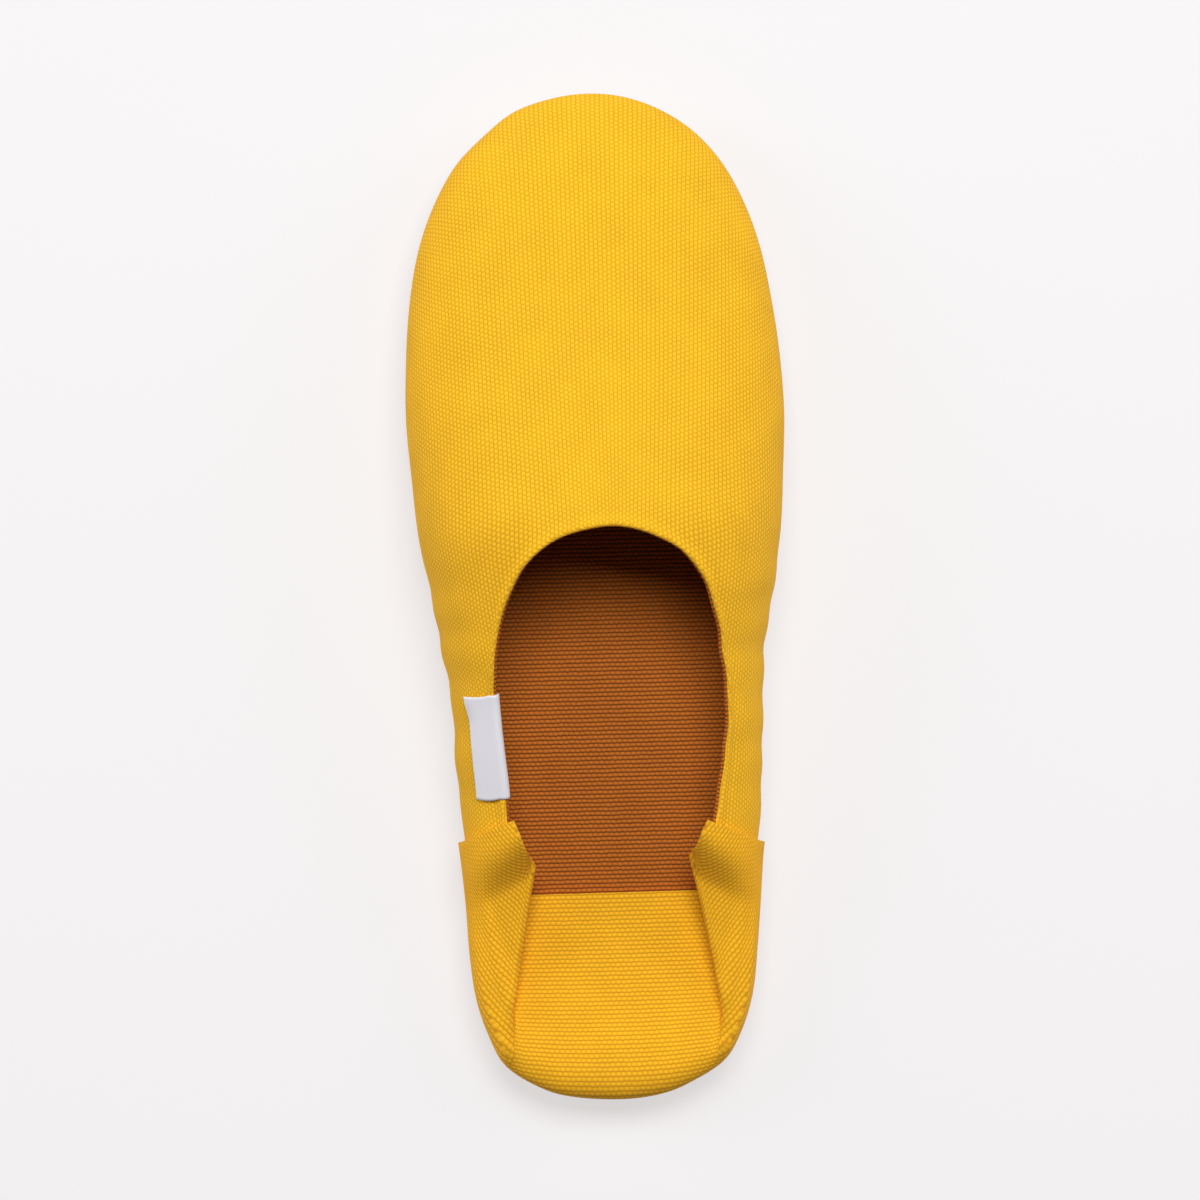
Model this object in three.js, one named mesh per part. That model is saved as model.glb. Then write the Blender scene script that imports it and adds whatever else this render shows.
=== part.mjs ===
// A babouche slipper for the left foot, with its soft heel folded down flat.
// Millimetres, +Z up, +Y to the toe, +X to the big toe's side. Every curved piece comes from one last, the
// foot form that the cloth is shaped over: the upper is the last's skin, and the heel cloth lies just
// outside it.
import * as THREE from 'three';

// ---- Driving sizes ----
const LENGTH = 265;         // back of the heel to the tip of the toe
const GAP = 0.3;            // clear space between pieces that touch
const UPPER_WALL = 1.8;     // canvas and its lining together
const HEEL_WALL = 1.6;      // canvas laid double
const SOLE_THICK = 3.5;
const INSOLE_THICK = 5.5;
const WIDEST = 12;          // height of the upper's widest line over the floor
const TUCK = 2.5;           // how far the cloth turns in under that line
const TOE_SPRING = 3.5;     // rise of the sole at the toe
const ARCH_RISE = 1;        // rise of the sole at the waist
const FULLNESS = 2.4;       // roundness of the last's sections: 2 is an ellipse
const SOLE_TUCK = 2.6;      // how far the sole's edge hides under the cloth
const SEAT = SOLE_THICK + GAP;              // underside of insole and cloth
const INSOLE_TOP = SEAT + INSOLE_THICK;
const HEEL_MIDDLE = GAP + HEEL_WALL / 2;    // middle of the heel cloth, outside the last
const HEEL_PROUD = GAP + HEEL_WALL;

// ---- Tables, in millimetres from the back of the heel and from the slipper's long axis ----
// The last, a row per section: its reach to the little toe's side (outer) and the big toe's side (inner) at
// the widest line, and the height of its top (crown).
const LAST = rows('y outer inner crown', [
  [1.9, -2, 2, 12], [3.5, 13.4, 14.3, 25], [6, 19.6, 20.3, 30], [11, 26.8, 28.4, 33.5],
  [18, 30.5, 32.7, 35.5], [28, 33.6, 35.9, 36], [40, 35, 37.4, 36], [52, 35.6, 38.5, 36.2],
  [64, 36.6, 39.5, 36.8], [75, 37.85, 41, 38.3], [90, 39.35, 41.95, 41.8], [105, 39.95, 42.65, 46],
  [120, 42.45, 43.55, 50], [135, 44.85, 46.45, 53.3],
  [150, 47.45, 48.25, 55.3], [165, 48.8, 49.2, 51.8], [180, 49.85, 49.85, 47.6], [195, 49.5, 49.1, 43.4],
  [210, 48.25, 47.25, 39.6], [225, 45.4, 44.3, 36], [238, 40.4, 39.6, 32.2], [247, 35, 34.5, 28.8],
  [255, 26.9, 27.2, 24.8], [261, 18.6, 17.8, 20.8], [264, 9, 9.3, 17.6], [265, -0.5, 0.5, 15.5],
]);

// The collar, a row per point of the opening's edge, from the rear ends of the quarters to the throat.
const COLLAR = rows('y outer inner', [
  [68, 26.2, 28.3], [75, 26.5, 29.8], [84, 27, 31.4], [92, 27.8, 32.6], [100, 28.5, 33.3], [110, 29, 33.2],
  [118, 28.3, 32.2], [124, 27.3, 31.5], [130, 25.6, 30], [136, 22.9, 28.1], [141, 19.8, 24.9],
  [145, 15.6, 21], [148, 10.6, 15.4], [150.1, 3.1, 9.2], [150.7, -3.5, 3.5],
]);

// The rear ends of the quarters and the front edge of the heel cloth, each a slanting line from the widest
// line (low) to the collar (high).
const QUARTER_END = { outer: { low: 64.5, high: 71 }, inner: { low: 63, high: 70 } };
const HEEL_FRONT = { outer: { low: 68.8, high: 74.7 }, inner: { low: 67, high: 73.6 } };
const HEEL_HORN = { outer: 24.3, inner: 26.9 };     // reach of the front edge's upper corner

// The pleat at each side of the folded heel, a row per section from the heel's corner (along 0) to the corner
// at the front (along 1): where the side panel's folded edge runs on each side, the height of the flap beside
// it, how far the cloth turns there in degrees, and how deep the pleat is under the panel.
const PLEAT = rows('along outer outerY inner innerY flap turn depth', [
  [0, 28.9, 12, 30.7, 12, 12, 0, 1], [0.05, 28.5, 12.4, 30.4, 12.4, 14.2, 10, 1],
  [0.1, 27.6, 13.6, 30, 13.4, 15.3, 28, 1], [0.2, 27, 18, 30.3, 17.6, 14.9, 50, 1.1],
  [0.3, 26.2, 23.5, 29.9, 23.2, 13.4, 90, 2.1], [0.45, 24.8, 32.5, 28.6, 32.6, 11.8, 150, 4.2],
  [0.6, 23.1, 42, 26.8, 42.5, 11, 153, 7.6], [0.8, 20.9, 54.5, 24.5, 54.1, 10.6, 150, 11.8],
  [1, 19.25, 62.8, 22.25, 64.2, 10.4, 144, 15.6],
]);
const CROSSING = { outer: 43, inner: 51 };  // the pleat's slant across the slipper at its front, in degrees
const SLANT = 2.8;          // how far the panel runs on past the outermost point of its fold
const FOLD_RADIUS = 1.15;   // of the cloth's middle, where it is folded right over
const FOLD_FADE = 1.8;      // length of cloth in a fold that is still opening out

// ---- Tables and curves ----
function rows(names, values) {
  return values.map((row) => Object.fromEntries(names.split(' ').map((name, i) => [name, row[i]])));
}

// A smooth curve through one column of a table, against a measure that grows from row to row.
function through(table, column, measure) {
  const at = table.map(measure);
  const value = table.map((row) => row[column]);
  const step = (i) => (value[i + 1] - value[i]) / (at[i + 1] - at[i]);
  const slope = value.map((_, i) => {
    if (i === 0) return step(0);
    if (i === value.length - 1) return step(i - 1);
    const before = at[i] - at[i - 1];
    const after = at[i + 1] - at[i];
    return (step(i - 1) * after + step(i) * before) / (before + after);
  });
  return (m) => {
    let i = 0;
    while (i < at.length - 2 && m > at[i + 1]) i += 1;
    const wide = at[i + 1] - at[i];
    const t = (m - at[i]) / wide;
    const rise = value[i + 1] - value[i];
    return value[i] + t * (wide * slope[i] + t * (3 * rise - wide * (2 * slope[i] + slope[i + 1])
      + t * (wide * (slope[i] + slope[i + 1]) - 2 * rise)));
  };
}

const mix = (a, b, t) => a + (b - a) * t;
const smooth = (from, to, value) => {
  const t = THREE.MathUtils.clamp((value - from) / (to - from), 0, 1);
  return t * t * (3 - 2 * t);
};
const spread = (count) => Array.from({ length: count + 1 }, (_, i) => i / count);

// ---- The last ----
// Round ends need an angle, not a distance: the turn runs from 0 at the heel to PI at the toe.
const FIRST = LAST[0].y;
const turnAt = (y) => Math.acos(THREE.MathUtils.clamp(1 - 2 * (y - FIRST) / (LENGTH - FIRST), -1, 1));
const yAt = (turn) => FIRST + (LENGTH - FIRST) * (1 - Math.cos(turn)) / 2;
const reach = {
  outer: through(LAST, 'outer', (row) => turnAt(row.y)),
  inner: through(LAST, 'inner', (row) => turnAt(row.y)),
};
const crown = through(LAST, 'crown', (row) => turnAt(row.y));
const SIGN = { outer: -1, inner: 1 };

// How far the sole has left the floor: the arch at the waist and the toe's spring. Heel and ball stay flat.
function lift(y) {
  const arch = ARCH_RISE * smooth(66, 100, y) * (1 - smooth(106, 142, y));
  return arch + TOE_SPRING * Math.max(0, (y - 195) / (LENGTH - 195)) ** 2;
}

// A point of the widest line, at a turn along one side, moved out by grow, with its outward direction.
function edgePoint(side, turn, grow) {
  const plan = (t) => new THREE.Vector2(SIGN[side] * reach[side](t), yAt(t));
  const small = 1e-3;
  const run = plan(Math.min(turn + small, Math.PI)).sub(plan(Math.max(turn - small, 0)));
  const out = new THREE.Vector2(run.y, -run.x).multiplyScalar(SIGN[side]).normalize();
  if (turn < small || turn > Math.PI - small) out.set(0, turn < small ? -1 : 1);
  return { at: plan(turn).addScaledVector(out, grow), out };
}

// A point of the last's skin over the widest line. Share is 1 on that line and 0 on the ridge of the crown.
function lastPoint(side, share, y, grow = 0) {
  const turn = turnAt(y);
  const small = 0.5;
  const slope = (reach[side](turnAt(y + small)) - reach[side](turnAt(y - small))) / (2 * small);
  const wide = reach[side](turn) + grow * Math.hypot(1, slope);
  const middle = (reach.inner(turn) - reach.outer(turn)) / 2;
  const x = mix(middle, SIGN[side] * wide, share);
  const low = WIDEST + lift(y);
  return new THREE.Vector3(x, y, mix(low, crown(turn) + grow, Math.sqrt(Math.max(0, 1 - share ** FULLNESS))));
}

// The same skin read from a plan position.
function shareAt(x, y) {
  const turn = turnAt(y);
  const middle = (reach.inner(turn) - reach.outer(turn)) / 2;
  const half = (reach.inner(turn) + reach.outer(turn)) / 2;
  return { side: x < middle ? 'outer' : 'inner', share: Math.min(1, Math.abs(x - middle) / half) };
}

// The cloth below the widest line, from its edge on the sole (t 0) up to the line (t 1).
function tuckPoint(edge, t, foot) {
  const inset = TUCK * (1 - t) ** 2;
  const at = edge.at.clone().addScaledVector(edge.out, -inset);
  return new THREE.Vector3(at.x, at.y, mix(foot, WIDEST, t) + lift(edge.at.y));
}

// ---- Solids from grids of points ----
function solid(points, faces) {
  const geometry = new THREE.BufferGeometry();
  geometry.setAttribute('position', new THREE.Float32BufferAttribute(points.flatMap((p) => p.toArray()), 3));
  geometry.setIndex(faces.flat());
  geometry.computeVertexNormals();
  return geometry;
}

// A sheet of cloth: a grid of points, given a wall that stands out by one thickness and in by another.
function sheet(grid, out, into) {
  const tall = grid.length;
  const wide = grid[0].length;
  const direction = (i, j) => {
    const up = grid[Math.min(i + 1, tall - 1)][j].clone().sub(grid[Math.max(i - 1, 0)][j]);
    const along = grid[i][Math.min(j + 1, wide - 1)].clone().sub(grid[i][Math.max(j - 1, 0)]);
    return along.cross(up).normalize();
  };
  const layer = (shift) => grid.flatMap((row, i) => row.map((p, j) => (
    p.clone().addScaledVector(direction(i, j), shift))));
  const faces = [];
  const quad = (a, b, c, d) => faces.push([a, b, c], [a, c, d]);
  const front = (i, j) => i * wide + j;
  const back = (i, j) => tall * wide + i * wide + j;
  for (let i = 0; i + 1 < tall; i += 1) {
    for (let j = 0; j + 1 < wide; j += 1) {
      quad(front(i, j), front(i, j + 1), front(i + 1, j + 1), front(i + 1, j));
      quad(back(i, j), back(i + 1, j), back(i + 1, j + 1), back(i, j + 1));
    }
    quad(front(i, 0), front(i + 1, 0), back(i + 1, 0), back(i, 0));
    quad(front(i, wide - 1), back(i, wide - 1), back(i + 1, wide - 1), front(i + 1, wide - 1));
  }
  for (let j = 0; j + 1 < wide; j += 1) {
    quad(front(0, j), back(0, j), back(0, j + 1), front(0, j + 1));
    quad(front(tall - 1, j), front(tall - 1, j + 1), back(tall - 1, j + 1), back(tall - 1, j));
  }
  return solid([...layer(out), ...layer(-into)], faces);
}

// A flat slab with shaped edges: rings from the bottom to the top, each closed across from side to side.
const RING_STEPS = 40;
function slab(section) {
  const ring = ({ inset, z }) => {
    const point = (side, turn) => {
      const rough = edgePoint(side, turn, 0);
      const { at } = edgePoint(side, turn, -inset(rough.at.y));
      return new THREE.Vector3(at.x, at.y, z + lift(at.y));
    };
    const turns = spread(RING_STEPS).map((t) => t * Math.PI);
    const left = turns.map((turn) => point('outer', turn));
    const right = turns.slice(1, -1).map((turn) => point('inner', turn)).reverse();
    return [...left, ...right];
  };
  const rings = section.map(ring);
  const round = rings[0].length;
  const faces = [];
  for (let level = 0; level + 1 < rings.length; level += 1) {
    for (let i = 0; i < round; i += 1) {
      const next = (i + 1) % round;
      const [a, b] = [level * round + i, level * round + next];
      faces.push([a, b + round, b], [a, a + round, b + round]);
    }
  }
  const top = (rings.length - 1) * round;
  const cap = (a, b, c) => faces.push([a, b, c], [top + a, top + c, top + b]);
  cap(0, 1, round - 1);
  for (let i = 1; i < RING_STEPS - 1; i += 1) {
    cap(i, i + 1, round - i);
    cap(i + 1, round - i - 1, round - i);
  }
  cap(RING_STEPS - 1, RING_STEPS, RING_STEPS + 1);
  return solid(rings.flat(), faces);
}

// ---- Outsole and insole ----
// The heel cloth stands outside the last, so the sole is wider there by as much.
const heelShare = (y) => 1 - smooth(58, 76, y);

function outsole() {
  const inset = (y, more) => SOLE_TUCK - HEEL_PROUD * heelShare(y) + more;
  const section = rows('more z', [[1.1, 0], [0.3, 0.4], [0, 1.1], [0, 2.8], [0.6, SOLE_THICK]]);
  return slab(section.map(({ more, z }) => ({ inset: (y) => inset(y, more), z })));
}

function insole() {
  const snug = TUCK + UPPER_WALL + 0.9;
  const wider = 2.2;      // at the heel, where no upper stands between pad and heel cloth
  const inset = (y, more) => snug - wider * (1 - smooth(46, 60, y)) + more;
  const section = rows('more z', [[0.6, SEAT], [0, SEAT + 0.8], [-0.8, INSOLE_TOP - 1.6],
    [0, INSOLE_TOP - 0.4], [1.2, INSOLE_TOP]]);
  return slab(section.map(({ more, z }) => ({ inset: (y) => inset(y, more), z })));
}

// ---- Upper ----
const SIDE_STEPS = 21;
const TUCK_STEPS = 3;
const TOP_STEPS = 11;
const THROAT = COLLAR[COLLAR.length - 1].y;
const COLLAR_REAR = COLLAR[0].y;
const collarTurn = (y) => Math.asin(THREE.MathUtils.clamp((y - COLLAR_REAR) / (THROAT - COLLAR_REAR), 0, 1));
const opening = {
  outer: through(COLLAR, 'outer', (row) => collarTurn(row.y)),
  inner: through(COLLAR, 'inner', (row) => collarTurn(row.y)),
};

// One strip of the upper from the sole to the collar. Along runs from 0 at the rear end to 1 at the toe.
function upperStrip(side, along) {
  const end = QUARTER_END[side];
  const edge = edgePoint(side, turnAt(mix(end.low, LENGTH, Math.sin(along * Math.PI / 2))), 0);
  const fan = 1 - (1 - along) ** 2.4;
  const y = mix(end.high, THROAT, Math.sin(fan * Math.PI / 2));
  const rim = new THREE.Vector2(SIGN[side] * opening[side](collarTurn(y)), y);
  const under = spread(TUCK_STEPS).slice(0, -1).map((t) => tuckPoint(edge, t, SEAT));
  const over = spread(TOP_STEPS).map((t) => {
    const plan = rim.clone().lerp(edge.at, Math.cos(t * Math.PI / 2));
    const { side: half, share } = t === 0 ? { side, share: 1 } : shareAt(plan.x, plan.y);
    const point = lastPoint(half, share, plan.y);
    return new THREE.Vector3(plan.x, plan.y, point.z);
  });
  return [...under, ...over];
}

function upper() {
  const right = spread(SIDE_STEPS).map((along) => upperStrip('inner', along));
  const left = spread(SIDE_STEPS).slice(0, -1).map((along) => upperStrip('outer', along)).reverse();
  const strips = [...right, ...left];
  const grid = strips[0].map((_, level) => strips.map((strip) => strip[level]));
  return sheet(grid, 0, UPPER_WALL);
}

// ---- Heel cloth ----
const ROW_STEPS = [0, 0.03, 0.07, 0.12, 0.18, 0.25, 0.33, 0.42, 0.52, 0.63, 0.75, 0.88, 1];
const PANEL_STEPS = [0, 0.05, 0.1, 0.16, 0.24, 0.34, 0.46, 0.6, 0.75, 0.88, 1];
const HEEL_FOOT = 0.1;      // where the heel cloth ends, as a share of the way up to the widest line
const FOLD_STEPS = spread(5);
const FLAP_STEPS = spread(14);
const pleat = Object.fromEntries(Object.keys(PLEAT[0]).map((column) => (
  [column, through(PLEAT, column, (row) => row.along)])));

// The pleat's section: the cloth turns down and under, runs back, and turns the other way again.
// It gives the points as sideways run and drop from the panel's side of the fold.
function pleatSection(along) {
  const turn = THREE.MathUtils.degToRad(Math.max(0.5, pleat.turn(along)));
  const depth = pleat.depth(along);
  const radius = Math.max(FOLD_RADIUS, FOLD_FADE / turn);
  const arc = (angle) => [radius * Math.sin(angle), radius * (1 - Math.cos(angle))];
  const [run, drop] = arc(turn);
  const down = FOLD_STEPS.map((t) => arc(t * turn));
  const low = [2 * run + depth * Math.cos(turn), 2 * drop + depth * Math.sin(turn)];
  const up = [...down].reverse().map(([r, d]) => [low[0] - r, low[1] - d]);
  return [...down, ...up];
}

// Where a pleat's section starts, its sideways direction and its points, from the panel to the flap.
function pleatPoints(side, along) {
  const section = pleatSection(along);
  const [run, drop] = section[section.length - 1];
  const edge = new THREE.Vector2(SIGN[side] * pleat[side](along), pleat[`${side}Y`](along));
  const far = Math.max(...section.map(([r]) => r));
  const corner = heelCorner(side);
  const ahead = new THREE.Vector2(-SIGN[side], 0);
  const low = corner.inside.at.clone().sub(corner.outside.at).normalize();
  const crossing = CROSSING[side] * smooth(0.2, 0.7, along);
  ahead.rotateAround(new THREE.Vector2(), THREE.MathUtils.degToRad(-SIGN[side] * crossing));
  ahead.lerp(low, 1 - smooth(0, 0.25, along)).normalize();
  const start = edge.clone().addScaledVector(ahead, -Math.min(far, FOLD_RADIUS) * smooth(0, 0.2, along));
  const height = pleat.flap(along) + drop;
  return section.map(([r, d], i) => {
    const plan = start.clone().addScaledVector(ahead, r);
    const slant = SLANT * Math.max(0, 1 - i / 3) * smooth(0.75, 1, along);
    return new THREE.Vector3(plan.x, plan.y + slant, height - d);
  });
}

// The two places on the widest line between which a pleat starts.
function heelCorner(side) {
  return {
    outside: edgePoint(side, turnAt(PLEAT[0][`${side}Y`]), HEEL_MIDDLE),
    inside: edgePoint(side, turnAt(PLEAT[0][`${side}Y`] - 3.6), HEEL_MIDDLE),
  };
}

// How far the side panel lies on the upper: 1 in front of the quarter's rear end, and 0 well behind it.
function lapShare(side, share, y) {
  const end = QUARTER_END[side];
  const steep = 0.71;
  const line = mix(end.low, end.high, (1 - share) / (1 - steep));
  return smooth(-15, -0.8, y - line);
}

// A point of the side panel: across from the front edge (0) to the pleat (1), and along up to the top edge.
function panelPoint(side, across, along, fold) {
  const front = HEEL_FRONT[side];
  const horn = lastShareOf(side, HEEL_HORN[side], front.high);
  const topLift = Math.sqrt(1 - horn ** FULLNESS);
  const frontShare = (1 - (along * topLift) ** 2) ** (1 / FULLNESS);
  const frontY = mix(front.low, front.high, (1 - frontShare) / (1 - horn));
  const foldShare = lastShareOf(side, SIGN[side] * fold.x, fold.y);
  const share = mix(frontShare, foldShare, across);
  const y = mix(frontY, fold.y, across);
  const laid = lastPoint(side, share, y, HEEL_MIDDLE);
  const free = mix(fold.z, lastPoint(side, frontShare, frontY, HEEL_MIDDLE).z, (1 - across) ** 1.3);
  laid.z = mix(free, laid.z, lapShare(side, share, y));
  return laid;
}

// How far out a point lies between the last's middle and the heel cloth's widest line, from 0 to 1.
function lastShareOf(side, wide, y) {
  const full = Math.abs(lastPoint(side, 1, y, HEEL_MIDDLE).x);
  const middle = SIGN[side] * lastPoint(side, 0, y).x;
  return Math.min(1, (wide - middle) / (full - middle));
}

function heelCloth() {
  const left = heelCorner('outer');
  const right = heelCorner('inner');
  const flapEdge = FLAP_STEPS.map((t) => {
    const [from, to] = [turnAt(left.inside.at.y), turnAt(right.inside.at.y)];
    return t < 0.5 ? edgePoint('outer', mix(from, 0, 2 * t), HEEL_MIDDLE)
      : edgePoint('inner', mix(0, to, 2 * t - 1), HEEL_MIDDLE);
  });
  const [cornerA, cornerB] = ['outer', 'inner'].map((side) => pleatPoints(side, 0).at(-1));
  const row = (along) => {
    const pleats = { outer: pleatPoints('outer', along), inner: pleatPoints('inner', along) };
    const panel = (side) => PANEL_STEPS.slice(0, -1).map((across) => (
      panelPoint(side, across, along, pleats[side][0])));
    const [a, b] = [pleats.outer.at(-1), pleats.inner.at(-1)];
    const flap = FLAP_STEPS.slice(1, -1).map((t, i) => {
      const edge = flapEdge[i + 1].at;
      const round = new THREE.Vector3(edge.x, edge.y, WIDEST).sub(cornerA.clone().lerp(cornerB, t));
      return a.clone().lerp(b, t).addScaledVector(round, 1 - along);
    });
    return [...panel('outer'), ...pleats.outer, ...flap, ...[...pleats.inner].reverse(),
      ...panel('inner').reverse()];
  };
  const grid = ROW_STEPS.map(row);
  const under = spread(TUCK_STEPS).slice(0, -1).map((t) => grid[0].map((point) => {
    const side = point.x < 0 ? 'outer' : 'inner';
    const base = edgeNear(side, point);
    return tuckPoint({ at: new THREE.Vector2(point.x, point.y), out: base }, mix(HEEL_FOOT, 1, t), SEAT);
  }));
  return sheet([...under, ...grid], HEEL_WALL / 2, HEEL_WALL / 2);
}

// The outward direction of the widest line beside a point of the heel cloth.
function edgeNear(side, point) {
  let best = { far: Infinity };
  spread(400).forEach((t) => {
    const edge = edgePoint(side, t * Math.PI / 2, HEEL_MIDDLE);
    const far = Math.hypot(edge.at.x - point.x, edge.at.y - point.y);
    if (far < best.far) best = { far, out: edge.out };
  });
  return best.out;
}

// ---- Label: a ribbon folded over the collar ----
const LABEL = { from: 80.4, to: 107.6, thick: 0.5, loose: 0.6, outside: 8.6, inside: 5 };

function label() {
  const clear = LABEL.loose + LABEL.thick / 2;
  const grid = spread(8).map((t) => {
    const y = mix(LABEL.from, LABEL.to, t);
    const rim = opening.outer(collarTurn(y));
    const skin = (out, shift) => {
      const at = (wide) => {
        const { share } = shareAt(-wide, y);
        return lastPoint('outer', share, y);
      };
      const point = at(rim + out);
      const down = at(rim + out + 0.5).sub(at(rim + out - 0.5));
      const normal = new THREE.Vector3(down.z, 0, -down.x).normalize();
      return point.addScaledVector(normal, shift);
    };
    const outer = [1, 0.66, 0.33, 0.01].map((step) => skin(LABEL.outside * step, clear));
    const inner = [0.01, 0.5, 1].map((step) => skin(LABEL.inside * step, -UPPER_WALL - clear));
    const [from, to] = [outer.at(-1), inner[0]];
    const centre = from.clone().lerp(to, 0.5);
    const arm = from.clone().sub(centre);
    const wrap = [36, 72, 108, 144].map((angle) => (
      arm.clone().applyAxisAngle(new THREE.Vector3(0, 1, 0), THREE.MathUtils.degToRad(angle)).add(centre)));
    return [...outer, ...wrap, ...inner];
  });
  return sheet(grid, LABEL.thick / 2, LABEL.thick / 2);
}

// ---- The slipper ----
const CANVAS = { color: 0xf5ba28, roughness: 0.9, metalness: 0 };
const FINISH = {
  outsole: { color: 0x8a6a4a, roughness: 0.95, metalness: 0 },
  insole: { color: 0x9e5824, roughness: 0.95, metalness: 0 },
  upper: CANVAS,
  heel_cloth: CANVAS,
  label: { color: 0xe4e2e6, roughness: 0.6, metalness: 0 },
};
const slipper = new THREE.Group();
const pieces = {
  outsole: outsole(), insole: insole(), upper: upper(), heel_cloth: heelCloth(), label: label(),
};
Object.entries(pieces).forEach(([name, geometry]) => {
  const mesh = new THREE.Mesh(geometry, new THREE.MeshStandardMaterial(FINISH[name]));
  mesh.name = name;
  slipper.add(mesh);
});

// The origin is on the floor, under the middle of the slipper's own box.
const box = new THREE.Box3().setFromObject(slipper);
const middle = box.getCenter(new THREE.Vector3());
slipper.position.set(-middle.x, -middle.y, -box.min.z);
export default slipper;
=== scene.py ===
# %% [markdown]
# # A canvas babouche slipper
#
# A babouche is a soft, backless slipper. This one is made of stout cotton canvas lined with brown canvas,
# sewn inside out to a thin sole and then turned. Its heel is a band of doubled canvas that is trodden
# down flat, so a pleat forms at each side. The solid model gives the places and sizes, and this lesson
# makes the cloth.

# %% Load the solid model
import math

import bmesh
import bpy
import numpy as np
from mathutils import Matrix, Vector


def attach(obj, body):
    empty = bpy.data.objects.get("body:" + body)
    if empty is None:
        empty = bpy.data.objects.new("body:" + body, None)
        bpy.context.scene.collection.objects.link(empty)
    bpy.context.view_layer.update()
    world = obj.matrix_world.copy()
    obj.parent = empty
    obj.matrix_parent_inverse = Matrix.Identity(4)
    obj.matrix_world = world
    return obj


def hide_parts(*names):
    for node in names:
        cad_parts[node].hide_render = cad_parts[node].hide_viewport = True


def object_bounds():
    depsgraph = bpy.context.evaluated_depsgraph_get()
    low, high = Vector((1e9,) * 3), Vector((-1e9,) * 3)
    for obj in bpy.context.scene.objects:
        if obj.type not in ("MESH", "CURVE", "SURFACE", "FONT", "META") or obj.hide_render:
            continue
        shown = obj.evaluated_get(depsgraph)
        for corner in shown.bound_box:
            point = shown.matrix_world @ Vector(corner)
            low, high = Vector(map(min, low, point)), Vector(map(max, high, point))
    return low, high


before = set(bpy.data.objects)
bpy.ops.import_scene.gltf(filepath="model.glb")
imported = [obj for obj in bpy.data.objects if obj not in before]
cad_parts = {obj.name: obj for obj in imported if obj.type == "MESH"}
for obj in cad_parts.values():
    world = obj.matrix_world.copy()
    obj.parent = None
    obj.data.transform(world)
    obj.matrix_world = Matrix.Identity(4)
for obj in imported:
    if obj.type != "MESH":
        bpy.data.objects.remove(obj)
cad_bounds = [[float(value) for value in corner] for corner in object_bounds()]
print("solid model, in metres:", cad_bounds)

# %% [markdown]
# ## The last
#
# A shoemaker shapes the cloth over a last, a form of the foot. Here the last is a short table of sections
# and a few functions that read it. Everything in the slipper is measured from it, so the pieces fit
# without trying.

# %% Sizes in millimetres, from the back of the heel and the long axis
MM = 0.001
LENGTH = 265
GAP = 0.3
UPPER_WALL = 1.8  # canvas and its lining together
HEEL_WALL = 1.6  # canvas laid double
WIDEST = 12  # height of the upper's widest line over the floor
TUCK = 2.5  # how far the cloth turns in under that line
FULLNESS = 2.4  # roundness of the last's sections: 2 is an ellipse
BALL = 195  # where the sole starts to leave the floor, towards the toe
TOE_SPRING = 3.5
SOLE_THICK = 3.5
SOLE_TUCK = 2.6  # how far the sole's edge hides under the cloth
SEAT = SOLE_THICK + GAP  # underside of insole and cloth
INSOLE_TOP = SEAT + 5.5
HEEL_MIDDLE = GAP + HEEL_WALL / 2  # middle of the heel cloth, outside the last
HEEL_PROUD = GAP + HEEL_WALL
SIGN = {"outer": -1, "inner": 1}

LAST = np.array([  # y, reach to the little toe's side, reach to the big toe's side, height of the crown
    [1.9, -2, 2, 12], [3.5, 13.4, 14.3, 25], [6, 19.6, 20.3, 30], [11, 26.8, 28.4, 33.5],
    [18, 30.5, 32.7, 35.5], [28, 33.6, 35.9, 36], [40, 35, 37.4, 36], [52, 35.6, 38.5, 36.2],
    [64, 36.6, 39.5, 36.8], [75, 37.85, 41, 38.3], [90, 39.35, 41.95, 41.8], [105, 39.95, 42.65, 46],
    [120, 42.45, 43.55, 50], [135, 44.85, 46.45, 53.3], [150, 47.45, 48.25, 55.3], [165, 48.8, 49.2, 51.8],
    [180, 49.85, 49.85, 47.6], [195, 49.5, 49.1, 43.4], [210, 48.25, 47.25, 39.6], [225, 45.4, 44.3, 36],
    [238, 40.4, 39.6, 32.2], [247, 35, 34.5, 28.8], [255, 26.9, 27.2, 24.8], [261, 18.6, 17.8, 20.8],
    [264, 9, 9.3, 17.6], [265, -0.5, 0.5, 15.5]])
COLLAR = np.array([  # y, and the opening's reach to each side
    [68, 26.2, 28.3], [75, 26.5, 29.8], [84, 27, 31.4], [92, 27.8, 32.6], [100, 28.5, 33.3], [110, 29, 33.2],
    [118, 28.3, 32.2], [124, 27.3, 31.5], [130, 25.6, 30], [136, 22.9, 28.1], [141, 19.8, 24.9],
    [145, 15.6, 21], [148, 10.6, 15.4], [150.1, 3.1, 9.2], [150.7, -3.5, 3.5]])
QUARTER_END = {"outer": (64.5, 71), "inner": (63, 70)}  # the quarters' rear ends, at the sole and the collar
HEEL_FRONT = {"outer": (68.8, 74.7), "inner": (67, 73.6)}  # the heel cloth's front edge, likewise
HEEL_HORN = {"outer": 24.3, "inner": 26.9}  # reach of that edge's upper corner
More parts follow.
